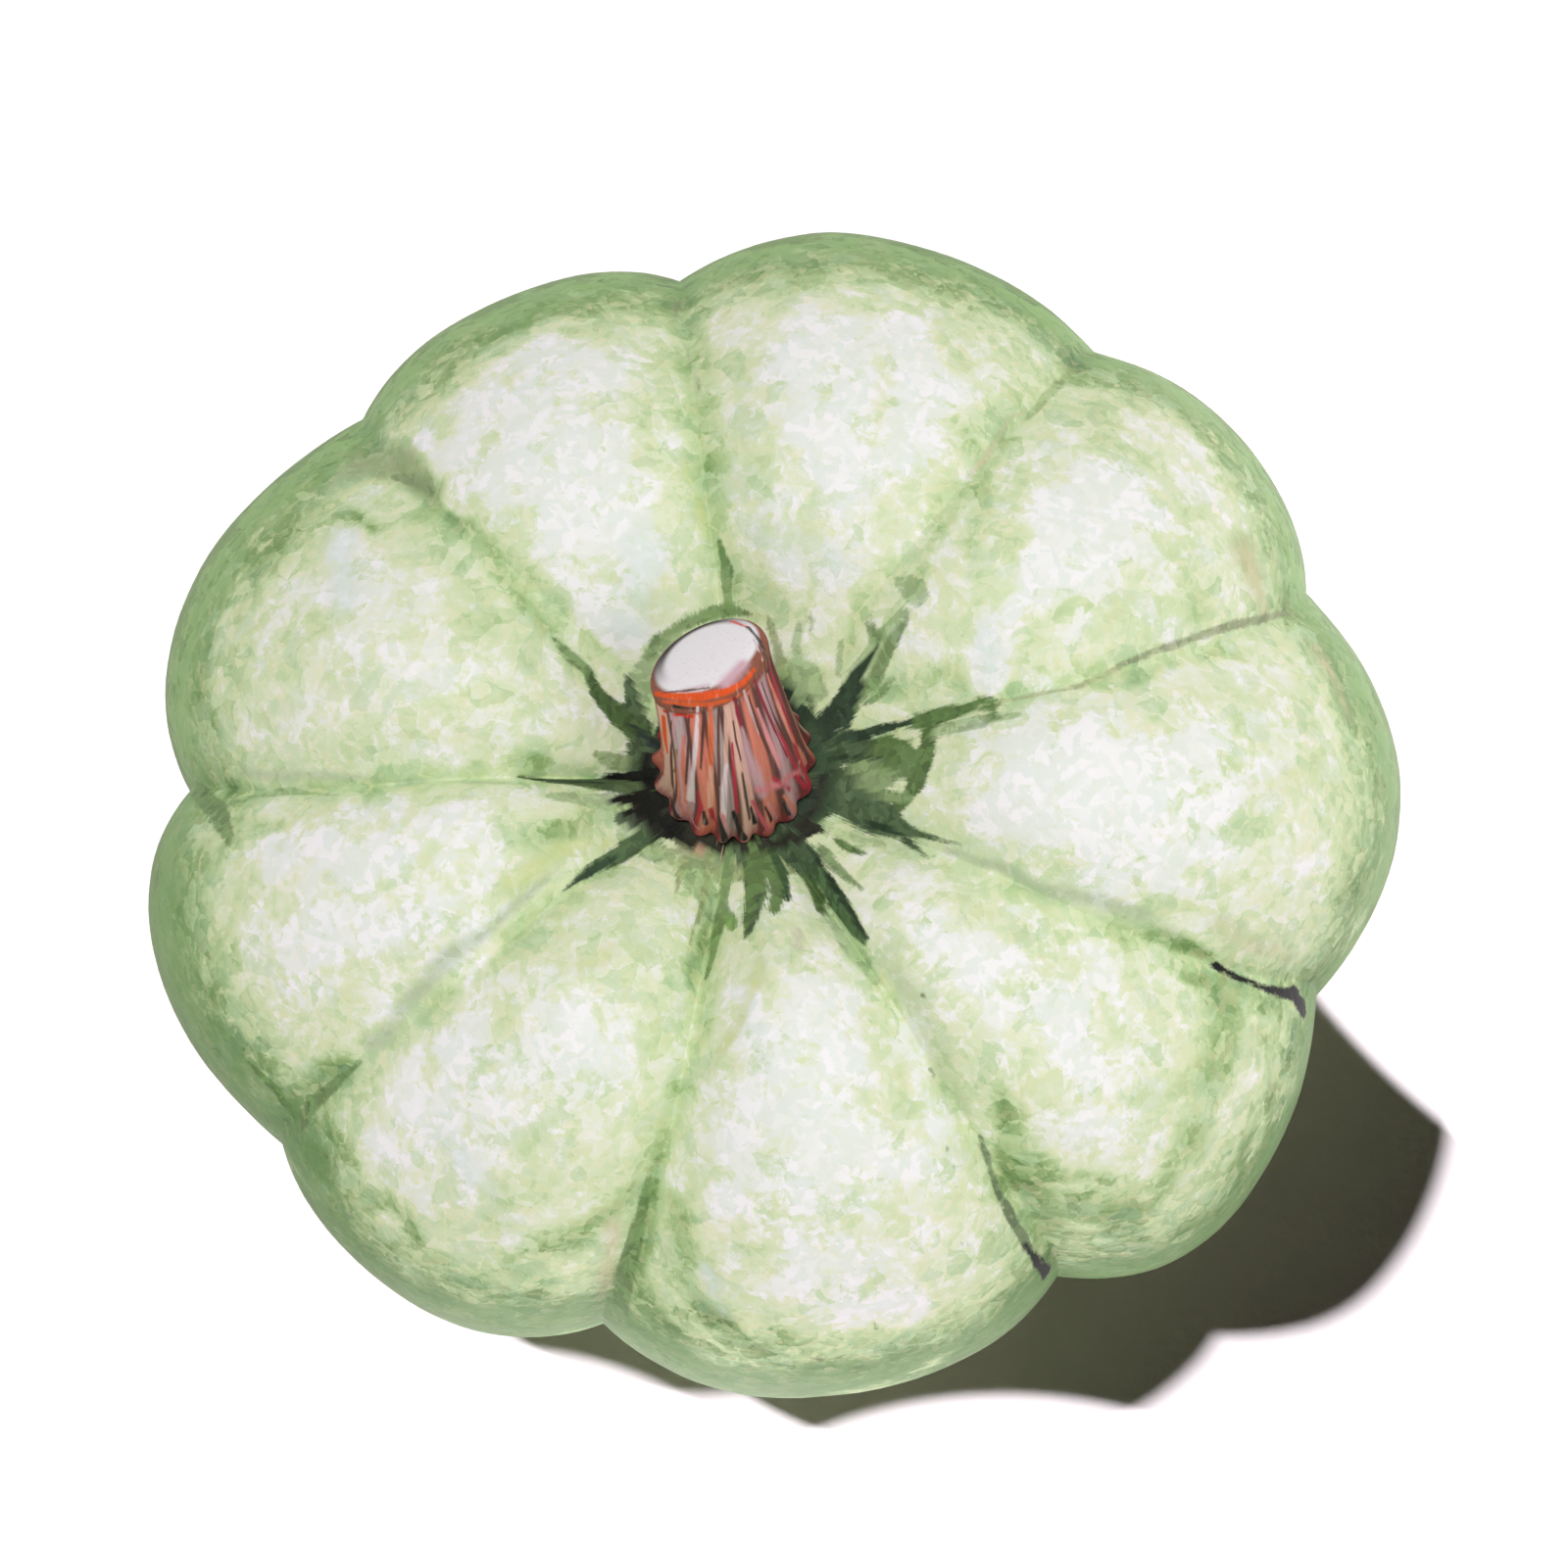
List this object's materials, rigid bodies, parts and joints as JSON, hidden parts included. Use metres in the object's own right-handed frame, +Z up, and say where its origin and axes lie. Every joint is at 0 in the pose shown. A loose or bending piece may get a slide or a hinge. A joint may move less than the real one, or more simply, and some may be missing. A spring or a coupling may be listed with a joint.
{
  "type": "winter squash",
  "caption": "Flattened round winter squash with deep lobes, a sunken stem cavity and a short ridged cut stem, lying on its underside.",
  "frame": {"origin": "on the surface that the fruit lies on, under the middle of its box", "axes": "+Z up along the fruit's short axis, -Y the front, from which the stem leans away, +X to the right"},
  "size_m": [0.2436, 0.2304, 0.1319],
  "materials": {
    "rind": "pale green waxy rind with a white bloom, matt",
    "stem": "dry ridged bark with a pale cut, rough"
  },
  "bodies": {
    "root": {"fruit": "rind", "stem": "stem"}
  },
  "joints": []
}
